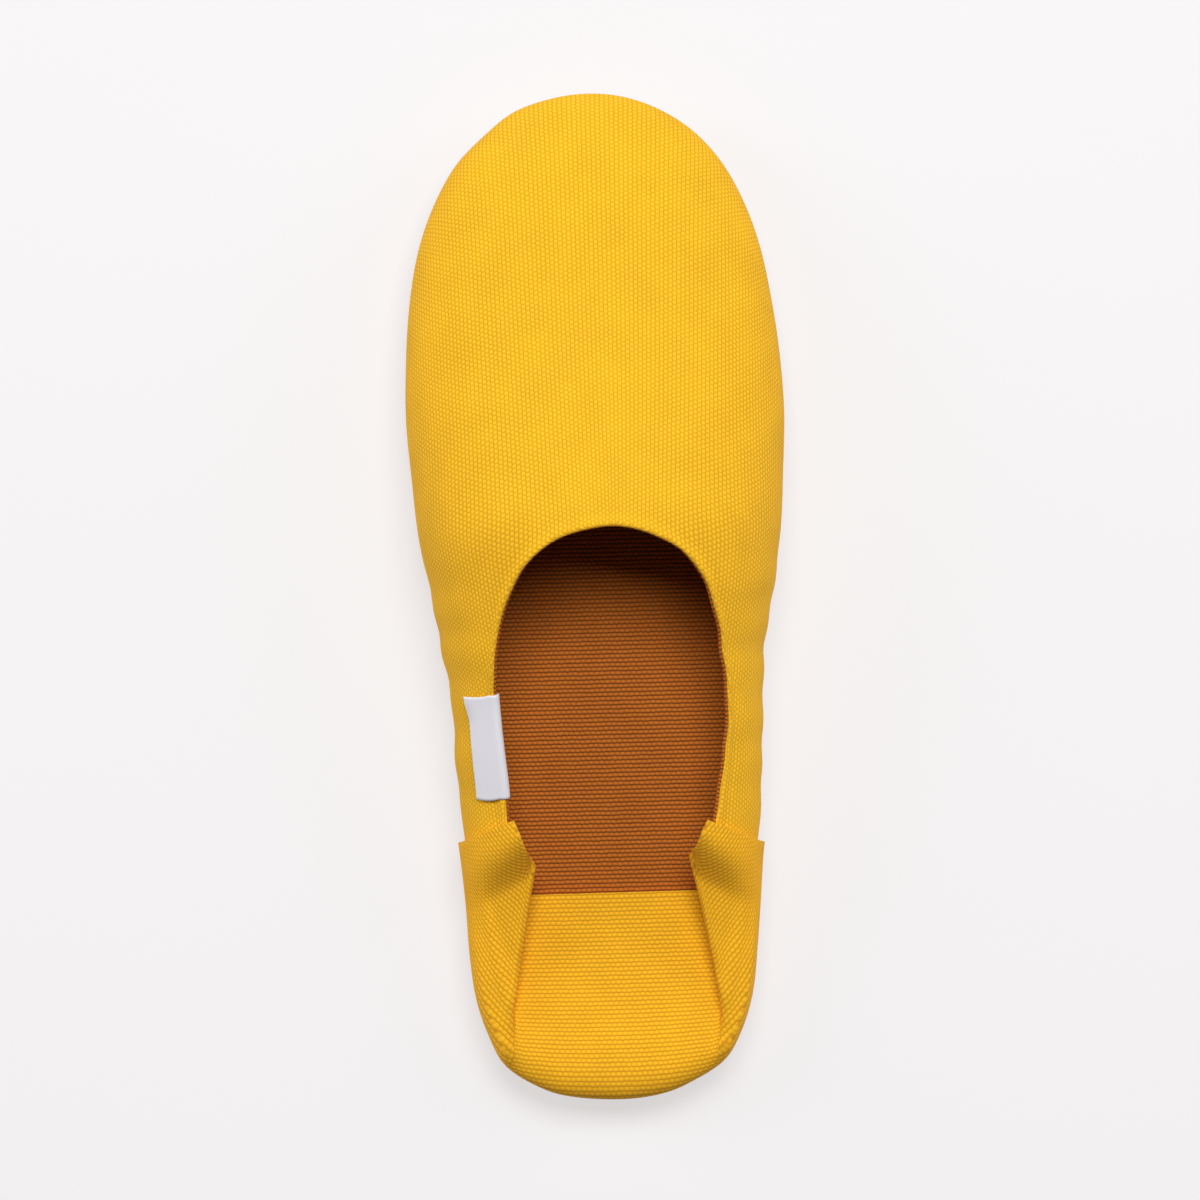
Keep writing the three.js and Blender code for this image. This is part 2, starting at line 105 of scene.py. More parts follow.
PLEAT = np.array([  # along, fold x and y (outer), fold x and y (inner), flap height, turn in degrees, depth
    [0, 28.9, 12, 30.7, 12, 12, 0, 1], [0.05, 28.5, 12.4, 30.4, 12.4, 14.2, 10, 1],
    [0.1, 27.6, 13.6, 30, 13.4, 15.3, 28, 1], [0.2, 27, 18, 30.3, 17.6, 14.9, 50, 1.1],
    [0.3, 26.2, 23.5, 29.9, 23.2, 13.4, 90, 2.1], [0.45, 24.8, 32.5, 28.6, 32.6, 11.8, 150, 4.2],
    [0.6, 23.1, 42, 26.8, 42.5, 11, 153, 7.6], [0.8, 20.9, 54.5, 24.5, 54.1, 10.6, 150, 11.8],
    [1, 19.25, 62.8, 22.25, 64.2, 10.4, 144, 15.6]])
FOLD_RADIUS = 1.15  # of the cloth's middle, where it is folded right over
FOLD_FADE = 1.8  # length of cloth in a fold that is still opening out
SLANT = 2.8  # how far the panel runs on past the outermost point of its fold
CROSSING = {"outer": 43, "inner": 51}  # the pleat's slant across the slipper at its front, in degrees

# %% Curves through the tables
def through(at, value):
    """A smooth curve through the values: each slope comes from the two neighbouring steps."""
    at, value = np.asarray(at, float), np.asarray(value, float)
    wide = np.diff(at)
    step = np.diff(value) / wide
    slope = np.empty(len(at))
    slope[0], slope[-1] = step[0], step[-1]
    slope[1:-1] = (step[:-1] * wide[1:] + step[1:] * wide[:-1]) / (wide[:-1] + wide[1:])

    def curve(m):
        m = np.asarray(m, float)
        i = np.clip(np.searchsorted(at, m, side="left") - 1, 0, len(wide) - 1)
        t = (m - at[i]) / wide[i]
        rise = value[i + 1] - value[i]
        a, b = wide[i] * slope[i], wide[i] * slope[i + 1]
        return value[i] + t * (a + t * (3 * rise - 2 * a - b + t * (a + b - 2 * rise)))

    return curve


def mix(a, b, t):
    return a + (b - a) * t


def smooth(low, high, value):
    t = np.clip((value - low) / (high - low), 0, 1)
    return t * t * (3 - 2 * t)


def bump(value, centre, width):
    return np.exp(-(((value - centre) / width) ** 2))


# %% Read the last
FIRST = LAST[0, 0]


def turn_at(y):
    return np.arccos(np.clip(1 - 2 * (y - FIRST) / (LENGTH - FIRST), -1, 1))


def y_at(turn):
    return FIRST + (LENGTH - FIRST) * (1 - np.cos(turn)) / 2


last_turn = turn_at(LAST[:, 0])
reach = {"outer": through(last_turn, LAST[:, 1]), "inner": through(last_turn, LAST[:, 2])}
crown = through(last_turn, LAST[:, 3])


def lift(y):
    """How far the sole has left the floor: a slight arch at the waist, and the spring of the toe."""
    arch = smooth(66, 100, y) * (1 - smooth(106, 142, y))
    return arch + TOE_SPRING * np.maximum(0, (y - BALL) / (LENGTH - BALL)) ** 2


def edge_point(side, turn, grow=0.0):
    """Points of the widest line as x and y, moved out by grow, and their outward directions."""
    small = 1e-3
    turn = np.asarray(turn, float)
    a, b = np.clip(turn - small, 0, math.pi), np.clip(turn + small, 0, math.pi)
    run_x = SIGN[side] * (reach[side](b) - reach[side](a))
    run_y = y_at(b) - y_at(a)
    size = np.hypot(run_x, run_y) * SIGN[side]
    out = np.stack([run_y / size, -run_x / size], -1)
    out[turn < small] = (0, -1)
    out[turn > math.pi - small] = (0, 1)
    at = np.stack([SIGN[side] * reach[side](turn), y_at(turn)], -1)
    return at + out * np.asarray(grow)[..., None], out


def last_point(side, share, y, grow=0.0):
    """Points of the last's skin: share is 1 on the widest line and 0 on the ridge."""
    share, y = np.broadcast_arrays(np.asarray(share, float), np.asarray(y, float))
    turn = turn_at(y)
    slope = reach[side](turn_at(y + 0.5)) - reach[side](turn_at(y - 0.5))
    wide = reach[side](turn) + grow * np.hypot(1, slope)
    middle = (reach["inner"](turn) - reach["outer"](turn)) / 2
    low = WIDEST + lift(y)
    high = np.sqrt(np.maximum(0, 1 - share**FULLNESS))
    return np.stack([mix(middle, SIGN[side] * wide, share), y, mix(low, crown(turn) + grow, high)], -1)


def share_at(x, y):
    turn = turn_at(y)
    middle = (reach["inner"](turn) - reach["outer"](turn)) / 2
    half = (reach["inner"](turn) + reach["outer"](turn)) / 2
    return np.minimum(1, np.abs(x - middle) / np.maximum(half, 1e-6)), x < middle


def tuck_points(at, out, t, foot=SEAT):
    """Cloth under the widest line, from its edge on the sole (t 0) up to the line (t 1)."""
    inset = np.asarray(TUCK * (1 - t) ** 2)
    plan = at - out * inset[..., None]
    return np.stack([plan[..., 0], plan[..., 1], mix(foot, WIDEST, t) + lift(at[..., 1])], -1)


# %% From the maker's millimetres to the frame
cad_low, cad_high = (np.array(corner) for corner in cad_bounds)
HOME = np.array([0.0, cad_low[1] / MM, 0.0])
OFF_AXIS = 0.025  # the box's middle is this far from the long axis, towards the big toe
HOME[0] = (cad_low[0] + cad_high[0]) / 2 / MM - OFF_AXIS
print("the back of the heel is at y =", round(HOME[1], 2), "mm in the frame")


def to_frame(points):
    return (points + HOME) * MM


# %% [markdown]
# ## Cutting and lasting cloth
#
# Each piece of cloth starts as a flat grid, as it would on the cutting table. Its points are then moved
# onto the shape, row by row. The grid keeps a UV map in millimetres of cloth, so that the woven threads
# follow the piece.

# %% A cloth piece from a grid
def lay_cloth(name, grid, cloth_uv, layers, wall=None, offset=-1.0):
    """grid is rows by columns of points in millimetres, and cloth_uv the same of positions on the cloth."""
    tall, wide = grid.shape[:2]
    mesh = bmesh.new()
    bmesh.ops.create_grid(mesh, x_segments=wide - 1, y_segments=tall - 1, size=1)
    uv = mesh.loops.layers.uv.new("cloth")
    mesh.verts.ensure_lookup_table()
    place = {}
    for vert in mesh.verts:
        column = round((vert.co.x + 1) / 2 * (wide - 1))
        level = round((vert.co.y + 1) / 2 * (tall - 1))
        place[vert] = (level, column)
    points = to_frame(grid)
    for vert, where in place.items():
        vert.co = points[where]
    for face in mesh.faces:
        face.smooth = True
        for loop in face.loops:
            loop[uv].uv = cloth_uv[place[loop.vert]]
    return finish_piece(name, mesh, layers, wall, offset)


def finish_piece(name, mesh, layers, wall=None, offset=-1.0):
    data = bpy.data.meshes.new(name)
    mesh.to_mesh(data)
    mesh.free()
    piece = bpy.data.objects.new(name, data)
    bpy.context.scene.collection.objects.link(piece)
    for layer in layers:
        data.materials.append(layer)
    if wall:
        solid = piece.modifiers.new("wall", "SOLIDIFY")
        solid.thickness = wall * MM
        solid.offset = offset
    print(name, len(data.vertices), "points")
    return piece


def directions(grid):
    """The outward direction at each point of a grid whose columns run round the slipper."""
    up = np.gradient(grid, axis=0)
    along = np.gradient(grid, axis=1)
    out = np.cross(along, up)
    return out / np.maximum(np.linalg.norm(out, axis=-1, keepdims=True), 1e-9)


def run_length(grid, axis):
    step = np.linalg.norm(np.diff(grid, axis=axis), axis=-1)
    start = np.zeros_like(np.take(step, [0], axis=axis))
    return np.concatenate([start, np.cumsum(step, axis=axis)], axis=axis)


def threads(grid, along):
    """Cloth positions for each point, so that steps on the cloth keep their real lengths as well as they
    can. Along gives the ribs' direction at each point. The best fit is a sum of waves, each found alone."""
    out = directions(grid)
    rib = along - out * (along * out).sum(-1, keepdims=True)
    rib /= np.maximum(np.linalg.norm(rib, axis=-1, keepdims=True), 1e-9)
    frames = np.stack([rib, np.cross(out, rib)], -2)
    waves, rates, pull = [], [], 0
    for axis, count in enumerate(grid.shape[:2]):
        step = np.diff(np.eye(count), axis=0)
        rate, wave = np.linalg.eigh(step.T @ step)
        waves.append(wave)
        rates.append(rate)
        own = np.moveaxis(frames, axis, 0)
        run = np.moveaxis(np.diff(grid, axis=axis), axis, 0)[..., None, :]
        want = ((own[1:] + own[:-1]) / 2 * run).sum(-1)
        edge = np.zeros((1, *want.shape[1:]))
        pull = pull + np.moveaxis(np.concatenate([edge, want]) - np.concatenate([want, edge]), 0, axis)
    rate = rates[0][:, None] + rates[1][None]
    rate[0, 0] = 1
    return np.stack([waves[0] @ ((waves[0].T @ pull[..., k] @ waves[1]) / rate) @ waves[1].T
                     for k in (0, 1)], -1)


# %% [markdown]
# ## Canvas
#
# Plain-woven canvas shows rows of small floats: the thick weft passes over one thin warp thread and under
# the next, and the next row is set off by half. Two cosines multiplied give exactly that chequer of
# floats. The pattern reads the piece's own UV map, in millimetres of cloth, so its scale is the real
# thread spacing.

# %% Colours and nodes
def linear(hex_colour):
    """An sRGB hex colour as linear red, green, blue and alpha."""
    channels = [int(hex_colour[i:i + 2], 16) / 255 for i in (1, 3, 5)]
    return [c / 12.92 if c <= 0.04045 else ((c + 0.055) / 1.055) ** 2.4 for c in channels] + [1.0]


def add(tree, kind, links=(), **settings):
    """Adds a node. settings name its own values or its sockets, and links pair a socket with an output."""
    node = tree.nodes.new("ShaderNode" + kind)
    for key, value in settings.items():
        if hasattr(node, key):
            setattr(node, key, value)
        else:
            socket = int(key[1:]) if key[1:].isdigit() else key.replace("_", " ")
            node.inputs[socket].default_value = value
    for socket, output in dict(links).items():
        tree.links.new(output, node.inputs[socket])
    return node


def new_material(name):
    material = bpy.data.materials.new(name)
    material.use_nodes = True
    tree = material.node_tree
    shader = tree.nodes["Principled BSDF"]
    return material, tree, shader


# %% Woven cotton canvas
def canvas(name, thread, hollow_shade, float_gap, rib_gap, dots, relief=0.12):
    """Cotton canvas, matt. The floats lie float_gap mm apart along a rib, and the ribs rib_gap mm apart.

    Thread is the colour of the raised floats, and hollow_shade the painted shade of the hollows between
    them. Dots says how far the floats stand out from their rib, and relief is the weave's depth in mm."""
    material, tree, shader = new_material(name)
    cloth = add(tree, "UVMap", uv_map="cloth").outputs[0]
    uneven = add(tree, "TexNoise", {"Vector": cloth}, Scale=0.45, Detail=2.0).outputs["Color"]
    shift = add(tree, "VectorMath", {0: uneven}, operation="SUBTRACT", i1=(0.5, 0.5, 0.5)).outputs[0]
    moved = add(tree, "VectorMath", {0: shift, 2: cloth}, operation="MULTIPLY_ADD",
                i1=(0.5, 0.35, 0)).outputs[0]
    parts = add(tree, "SeparateXYZ", {0: moved}).outputs
    along = add(tree, "Math", {0: parts[0]}, operation="MULTIPLY", i1=2 * math.pi / float_gap).outputs[0]
    across = add(tree, "Math", {0: parts[1]}, operation="MULTIPLY", i1=math.pi / rib_gap).outputs[0]
    wave = add(tree, "Math", {0: along}, operation="COSINE").outputs[0]
    row = add(tree, "Math", {0: across}, operation="COSINE").outputs[0]
    chequer = add(tree, "Math", {0: wave, 1: row}, operation="MULTIPLY").outputs[0]
    ridge = add(tree, "Math", {0: row}, operation="ABSOLUTE").outputs[0]
    floats = add(tree, "Math", {0: chequer}, operation="MULTIPLY_ADD", i1=dots, i2=dots).outputs[0]
    weave = add(tree, "Math", {0: ridge, 2: floats}, operation="MULTIPLY_ADD", i1=0.95 - 2 * dots).outputs[0]
    fibre = add(tree, "TexNoise", {"Vector": cloth}, Scale=5.0, Detail=3.0).outputs[0]
    height = add(tree, "Math", {0: fibre, 2: weave}, operation="MULTIPLY_ADD", i1=0.22).outputs[0]
    # Painted light and shade: the weave's low places take the dark hollow colour, and its raised floats the
    # thread colour.
    tint = add(tree, "ValToRGB", {0: height})
    ramp = tint.color_ramp.elements
    ramp[0].position, ramp[0].color = 0.16, linear(hollow_shade)
    ramp[1].position, ramp[1].color = 0.84, linear(thread)
    cloudy = add(tree, "TexNoise", {"Vector": cloth}, Scale=0.09, Detail=3.0).outputs[0]
    value = add(tree, "MapRange", {0: cloudy}, i1=0.3, i2=0.7, i3=0.95, i4=1.04).outputs[0]
    colour = add(tree, "HueSaturation", {"Color": tint.outputs[0], "Value": value}).outputs[0]
    tree.links.new(colour, shader.inputs["Base Color"])
    raised = add(tree, "Bump", {"Height": height}, Strength=1.0, Distance=relief * MM).outputs[0]
    tree.links.new(raised, shader.inputs["Normal"])
    shader.inputs["Roughness"].default_value = 0.88
    shader.inputs["IOR"].default_value = 1.45
    shader.inputs["Specular IOR Level"].default_value = 0.12
    shader.inputs["Sheen Weight"].default_value = 0.015
    shader.inputs["Sheen Roughness"].default_value = 0.6
    return material


RIB_GAP = 1.16
# The second colour of each canvas is painted shade, for the hollows of its weave.
yellow_canvas = canvas("woven cotton canvas, mustard", "#f8c127", "#c27f14", 1.24, RIB_GAP, 0.27)
heel_canvas = canvas("woven cotton canvas, mustard, doubled", "#febe26", "#be7813", 1.4, 1.12, 0.2, 0.1)
brown_canvas = canvas("woven cotton canvas, rust brown", "#c87028", "#240e02", 1.4, 1.12, 0.18, 0.3)
print("three canvases")

# %% Suede-like sole and satin ribbon
def brushed_suede():
    """Synthetic suede, brushed: a short nap that mottles in soft patches and has no gloss."""
    material, tree, shader = new_material("synthetic suede, brushed")
    where = add(tree, "TexCoord").outputs["Object"]
    nap = add(tree, "TexNoise", {"Vector": where}, Scale=900.0, Detail=4.0).outputs[0]
    patch = add(tree, "TexNoise", {"Vector": where}, Scale=45.0, Detail=3.0).outputs[0]
    both = add(tree, "Math", {0: patch, 2: nap}, operation="MULTIPLY_ADD", i1=0.7).outputs[0]
    tint = add(tree, "ValToRGB", {0: both})
    ramp = tint.color_ramp.elements
    ramp[0].position, ramp[0].color = 0.55, linear("#77583c")
    ramp[1].position, ramp[1].color = 1.1, linear("#a98560")
    tree.links.new(tint.outputs[0], shader.inputs["Base Color"])
    raised = add(tree, "Bump", {"Height": nap}, Strength=0.6, Distance=0.2 * MM).outputs[0]
    tree.links.new(raised, shader.inputs["Normal"])
    shader.inputs["Roughness"].default_value = 0.95
    shader.inputs["Specular IOR Level"].default_value = 0.15
    shader.inputs["Sheen Weight"].default_value = 0.3
    return material


def satin_ribbon():
    """Polyester satin ribbon, woven: close, fine ribs and a soft gloss."""
    material, tree, shader = new_material("polyester satin ribbon, woven")
    cloth = add(tree, "UVMap", uv_map="cloth").outputs[0]
    parts = add(tree, "SeparateXYZ", {0: cloth}).outputs
    ribs = add(tree, "Math", {0: parts[1]}, operation="MULTIPLY", i1=2 * math.pi / 0.5).outputs[0]
    wave = add(tree, "Math", {0: ribs}, operation="SINE").outputs[0]
    raised = add(tree, "Bump", {"Height": wave}, Strength=0.35, Distance=0.03 * MM).outputs[0]
    tree.links.new(raised, shader.inputs["Normal"])
    shader.inputs["Base Color"].default_value = linear("#e3e1e7")
    shader.inputs["Roughness"].default_value = 0.5
    shader.inputs["Specular IOR Level"].default_value = 0.4
    return material


suede = brushed_suede()
ribbon = satin_ribbon()

# %% [markdown]
# ## The upper
#
# Vamp and quarters are one piece of canvas with a lining of its own. At the collar the canvas is turned
# over the wall's edge, where it meets the lining. One thickened surface with two materials would be less
# work, but two real layers give the true edge: a yellow roll, with a thin line of brown just inside it.

# %% Last the canvas
SIDE_COLUMNS = 140
TUCK_ROWS = 7
TOP_ROWS = 58
ROLL = UPPER_WALL / 2
throat, collar_rear = COLLAR[-1, 0], COLLAR[0, 0]


def collar_turn(y):
    return np.arcsin(np.clip((y - collar_rear) / (throat - collar_rear), 0, 1))


opening = {side: through(collar_turn(COLLAR[:, 0]), COLLAR[:, column]) for side, column in
           (("outer", 1), ("inner", 2))}
WAIST_PUCKERS = {  # y, depth and width of each soft hollow, near the widest line of the waist
    "outer": [(84, 0.35, 4), (98, 0.45, 4.5), (112, 0.6, 4), (124, 0.55, 3.5), (136, 0.4, 4.5)],
    "inner": [(82, 0.4, 4), (93, 0.5, 4), (106, 0.55, 4.5), (118, 0.6, 3.5), (130, 0.5, 4), (142, 0.3, 5)]}


def upper_side(side):
    """One side of the canvas's face, as columns by rows, from the rear end to the toe."""
    along = np.linspace(0, 1, SIDE_COLUMNS + 1)
    low, high = QUARTER_END[side]
    edge, out = edge_point(side, turn_at(mix(low, LENGTH, np.sin(along * math.pi / 2))))
    fan = 1 - (1 - along) ** 1.6
    rim_y = mix(high, throat, np.sin(fan * math.pi / 2))
    rim = np.stack([SIGN[side] * opening[side](collar_turn(rim_y)), rim_y + ROLL * fan**3], -1)
    t = np.linspace(0, 1, TUCK_ROWS)[:-1]
    under = tuck_points(edge[:, None], out[:, None], t[None, :])
    t = np.append(np.linspace(0, 0.97, TOP_ROWS), [0.98, 0.987, 0.992, 0.996, 1])
    plan = mix(rim[:, None], edge[:, None], np.cos(t * math.pi / 2)[None, :, None])
    share, left = share_at(plan[..., 0], plan[..., 1])
    share[:, 0] = 1
    height = np.where(left, last_point("outer", share, plan[..., 1])[..., 2],
                      last_point("inner", share, plan[..., 1])[..., 2])
    grid = np.concatenate([under, np.concatenate([plan, height[..., None]], -1)], 1)
    near = np.concatenate([np.ones((len(along), len(under[0]))), smooth(0.55, 0.95, share)], 1)
    dent = sum(depth * bump(grid[..., 1], y, width) for y, depth, width in WAIST_PUCKERS[side])
    rise = smooth(SEAT, WIDEST, grid[..., 2])
    grid[..., :2] -= (out[:, None] * (dent * near * rise)[..., None])
    return grid


face = np.concatenate([upper_side("inner"), upper_side("outer")[::-1][1:]]).transpose(1, 0, 2)
outward = directions(face)
inward = run_length(face[::-1], 0)[::-1]
face += outward * (0.42 * bump(inward, 0, 1.1) - 0.2 * bump(inward, 2.8, 1))[..., None]
print("canvas face, rows by columns:", face.shape[:2])

# %% The ribs run lengthwise, and down over the toe
lengthwise = np.zeros(face.shape)
lengthwise[..., 1] = 1
lengthwise[..., 2] = -2 * np.maximum(outward[..., 1], 0)
cloth_map = threads(face, lengthwise)

# %% Turn the canvas over the collar, and set the lining inside it
rim, rim_out = face[-1], outward[-1]
rim_up = face[-1] - face[-2]
rim_up /= np.linalg.norm(rim_up, axis=-1, keepdims=True)
rim_up -= rim_out * (rim_up * rim_out).sum(-1, keepdims=True)


def rolled(angle, radius):
    turn = math.radians(angle)
    return rim - rim_out * ROLL + radius * (math.cos(turn) * rim_out + math.sin(turn) * rim_up)


# The ribs end at the throat, and there each one makes a small tooth on the edge.
across_rim = np.abs(np.gradient(rim[:, 0])) / np.linalg.norm(np.gradient(rim, axis=0), axis=-1)
rib_end = np.abs(np.cos(math.pi * cloth_map[-1, :, 1] / RIB_GAP))
tooth = 0.24 * smooth(0.5, 0.95, across_rim) * (rib_end - 0.6)
TURN_OVER = [18, 36, 54, 70]
canvas_grid = np.concatenate([face, [rolled(angle, ROLL + tooth[:, None]) for angle in TURN_OVER]])
roll_map = np.repeat(cloth_map[-1:], len(TURN_OVER), axis=0)
roll_map[..., 1] += (ROLL * np.radians(TURN_OVER))[:, None] * np.sign(cloth_map[-1, :, 1])
upper_canvas = lay_cloth("upper_canvas", canvas_grid, np.concatenate([cloth_map, roll_map]),
                         [yellow_canvas], wall=0.75)

# The lining stands a little proud of the turned edge, more on the big toe's side and least at the throat.
proud = mix(0.4, 0.55, smooth(-20, 20, rim[:, 0])) * mix(1, 0.35, smooth(128, 149, rim[:, 1]))
LINING_TURN = [58, 70, 84, 98, 112, 126, 140, 154, 168]
bead = [ROLL * 0.9 + proud[:, None] * math.sin(math.pi * (angle - 50) / 130) ** 2 for angle in LINING_TURN]
lining_turn = [rolled(angle, size) for angle, size in zip(LINING_TURN, bead)]
lining_face = face - outward * UPPER_WALL
lining_grid = np.concatenate([lining_turn, lining_face[::-1]])
lining_map = np.repeat(cloth_map[-1:], len(LINING_TURN), axis=0)
lining_map[..., 1] += np.linspace(-4.5, -0.5, len(LINING_TURN))[:, None]
lining_map = np.concatenate([lining_map, cloth_map[::-1]])[..., ::-1]
upper_lining = lay_cloth("upper_lining", lining_grid, lining_map, [brown_canvas], wall=0.75)
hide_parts("upper")
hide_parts("upper")

# %% [markdown]
# ## The heel cloth, trodden down
#
# The heel is a doubled band. Folded down, each side goes through the same section: the panel turns down
# and under, runs back beneath itself, and turns again to become the flap. The section is two arcs and a
# straight stretch, and it opens out towards the corner of the heel, where the fold fades. One section
# function makes both pleats.

# %% The pleat's section
pleat = {name: through(PLEAT[:, 0], PLEAT[:, column]) for column, name in
         enumerate(["along", "outer_x", "outer_y", "inner_x", "inner_y", "flap", "turn", "depth"])}
ARC_STEPS = 8
GUSSET_STEPS = 6
FOLD_START, FLAP_START = 0.62, -3.6  # on the widest line, from the first fold point's y
COLLAR_SHARE = 0.29  # of a side's section, from the widest line up to the collar


def pleat_section(along):
    """Sideways run and drop of the cloth through the pleat, from the panel to the flap."""
    turn = math.radians(max(0.5, float(pleat["turn"](along))))
    depth = float(pleat["depth"](along))
    radius = max(FOLD_RADIUS, FOLD_FADE / turn)
    angle = np.linspace(0, turn, ARC_STEPS + 1)
    down = np.stack([radius * np.sin(angle), radius * (1 - np.cos(angle))], -1)
    low = 2 * down[-1] + depth * np.array([math.cos(turn), math.sin(turn)])
    up = low - down[::-1]
    gusset = mix(down[-1], up[0], np.linspace(0, 1, GUSSET_STEPS + 1)[1:-1, None])
    return np.concatenate([down, gusset, up])


def heel_corner(side):
    """Where the fold leaves the widest line, and where the flap starts on it, as turns."""
    first = PLEAT[0, 2] if side == "outer" else PLEAT[0, 4]
    return turn_at(np.array([first + FOLD_START, first + FLAP_START]))


def pleat_points(side, along):
    section = pleat_section(along)
    faded = pleat_section(0)[:, :1]
    on_line = edge_point(side, mix(*heel_corner(side), faded[:, 0] / faded[-1, 0]), HEEL_MIDDLE)[0]
    low = (on_line[-1] - on_line[0]) / np.linalg.norm(on_line[-1] - on_line[0])
    crossing = math.radians(CROSSING[side] * float(smooth(0.2, 0.7, along)))
    ahead = np.array([-SIGN[side] * math.cos(crossing), math.sin(crossing)])
    ahead = mix(ahead, low, float(1 - smooth(0, 0.25, along)))
    ahead /= np.linalg.norm(ahead)
    edge = np.array([SIGN[side] * pleat[side + "_x"](along), pleat[side + "_y"](along)])
    start = edge - ahead * min(section[:, 0].max(), FOLD_RADIUS) * float(smooth(0, 0.2, along))
    plan = start + ahead * section[:, :1]
    plan += (on_line - on_line[0] - low * faded) * float(1 - smooth(0, 0.3, along))
    slant = np.clip(1 - np.arange(len(section)) / 4.8, 0, 1)
    plan[:, 1] += SLANT * slant * float(smooth(0.75, 1, along))
    height = pleat["flap"](along) + section[-1, 1] - section[:, 1]
    return np.concatenate([plan, height[:, None]], 1)


# %% The side panels and the flap
def heel_share(side, wide, y):
    """How far out a place is between the last's middle and the heel cloth's widest line."""
    full = np.abs(last_point(side, 1, y, HEEL_MIDDLE)[..., 0])
    middle = SIGN[side] * last_point(side, 0, y)[..., 0]
    return np.minimum(1, (wide - middle) / (full - middle))


def panel_points(side, across, along, fold):
    """The panel from its front edge (across 0) to the fold (across 1). It lies on the upper in front."""
    low, high = HEEL_FRONT[side]
    horn = float(heel_share(side, HEEL_HORN[side], high))
    front_share = (1 - (along**2) * (1 - horn**FULLNESS)) ** (1 / FULLNESS)
    front_y = mix(low, high, (1 - front_share) / (1 - horn))
    fold_share = float(heel_share(side, SIGN[side] * fold[0], fold[1]))
    share = mix(front_share, fold_share, across)
    y = mix(front_y, fold[1], across)
    laid = last_point(side, share, y, HEEL_MIDDLE)
    front_z = last_point(side, front_share, front_y, HEEL_MIDDLE)[..., 2]
    free = mix(fold[2], front_z, (1 - across) ** 1.1)
    line = mix(*QUARTER_END[side], (1 - share) / COLLAR_SHARE)
    laid[..., 2] = mix(free, laid[..., 2], smooth(-15, -0.8, y - line))
    return laid


def heel_rows(along_steps, across, flap_steps):
    corner = {side: pleat_points(side, 0) for side in SIGN}
    half = len(flap_steps) // 2
    turns = {side: heel_corner(side)[1] for side in SIGN}
    left = edge_point("outer", turns["outer"] * (1 - 2 * flap_steps[:half]), HEEL_MIDDLE)[0]
    right = edge_point("inner", turns["inner"] * (2 * flap_steps[half + 1:] - 1), HEEL_MIDDLE)[0]
    middle = edge_point("inner", np.array([0.0]), HEEL_MIDDLE)[0]
    back = np.concatenate([left, middle, right])
    back = np.concatenate([back, np.full((len(back), 1), WIDEST)], 1)
    chord = mix(corner["outer"][-1], corner["inner"][-1], flap_steps[:, None])
    rows = []
    for along in along_steps:
        sides = {side: pleat_points(side, along) for side in SIGN}
        panels = {side: panel_points(side, across, along, sides[side][0]) for side in SIGN}
        a, b = sides["outer"][-1], sides["inner"][-1]
        flap = mix(a, b, flap_steps[:, None]) + (back - chord) * (1 - along)
        rows.append(np.concatenate([panels["outer"][:-1], sides["outer"], flap[1:-1], sides["inner"][::-1],
                                    panels["inner"][:-1][::-1]]))
    return np.array(rows)


across_steps = 1 - (1 - np.linspace(0, 1, 37)) ** 1.3
flap_steps = np.linspace(0, 1, 47)
along_steps = np.linspace(0, 1, 50) ** 1.25
heel_top = heel_rows(along_steps, across_steps, flap_steps)
print("heel cloth, rows by columns:", heel_top.shape[:2])

# %% Add the heel's tuck under its widest line
sample = np.linspace(0.02, 1.2, 400)
heel_edge = [edge_point(side, sample, HEEL_MIDDLE) for side in SIGN]
edge_at = np.concatenate([at for at, _ in heel_edge])
edge_out = np.concatenate([out for _, out in heel_edge])
foot_row = heel_top[0]
nearest = np.linalg.norm(foot_row[:, None, :2] - edge_at[None], axis=-1).argmin(1)
heel_under = [tuck_points(foot_row[:, :2], edge_out[nearest], t) for t in np.linspace(0.1, 1, 7)[:-1]]
heel_grid = np.concatenate([heel_under, heel_top])

# The panels' ribs slant down towards the fold, the flap's run straight across, and the pleat turns them.
panel_count = len(across_steps) - 1
pleat_count = 2 * (ARC_STEPS + 1) + GUSSET_STEPS - 1
columns = heel_grid.shape[1]
left_turn = panel_count + pleat_count // 2
right_turn = columns - 1 - left_turn
left_flap = panel_count + pleat_count - 1
right_flap = columns - 1 - left_flap
over = np.gradient(heel_grid, axis=0)
over /= np.maximum(np.linalg.norm(over, axis=-1, keepdims=True), 1e-9)
round_it = np.gradient(heel_grid, axis=1)
round_it -= over * (over * round_it).sum(-1, keepdims=True)
round_it /= np.maximum(np.linalg.norm(round_it, axis=-1, keepdims=True), 1e-9)


def carried(direction, column):
    """A direction on one column of the cloth, carried round the folds to all the others."""
    return sum((direction * own[:, [column]]).sum(-1, keepdims=True) * own for own in (over, round_it))


RIB_SLANT = math.radians(40)
slanted = np.array([math.cos(RIB_SLANT), -math.sin(RIB_SLANT), 0])
across_flap = np.array([1.0, 0, 0])
ribs = np.zeros((*heel_grid.shape[:2], 3))
ribs[...] = across_flap
ribs[:, :panel_count] = slanted
ribs[:, columns - panel_count:] = slanted * (1, -1, 1)
for part, direction, column in (
        (slice(panel_count, left_turn), slanted, panel_count - 1),
        (slice(left_turn, left_flap), across_flap, left_flap),
        (slice(right_flap + 1, right_turn), across_flap, right_flap),
        (slice(right_turn, columns - panel_count), slanted * (1, -1, 1), columns - panel_count)):
    ribs[:, part] = carried(direction, column)[:, part]
heel_map = np.concatenate([threads(heel_grid[:, part], ribs[:, part]) for part in
                           (slice(0, left_turn), slice(left_turn, right_turn), slice(right_turn, None))], 1)
heel_cloth = lay_cloth("heel_canvas", heel_grid, heel_map, [heel_canvas], wall=HEEL_WALL, offset=0)
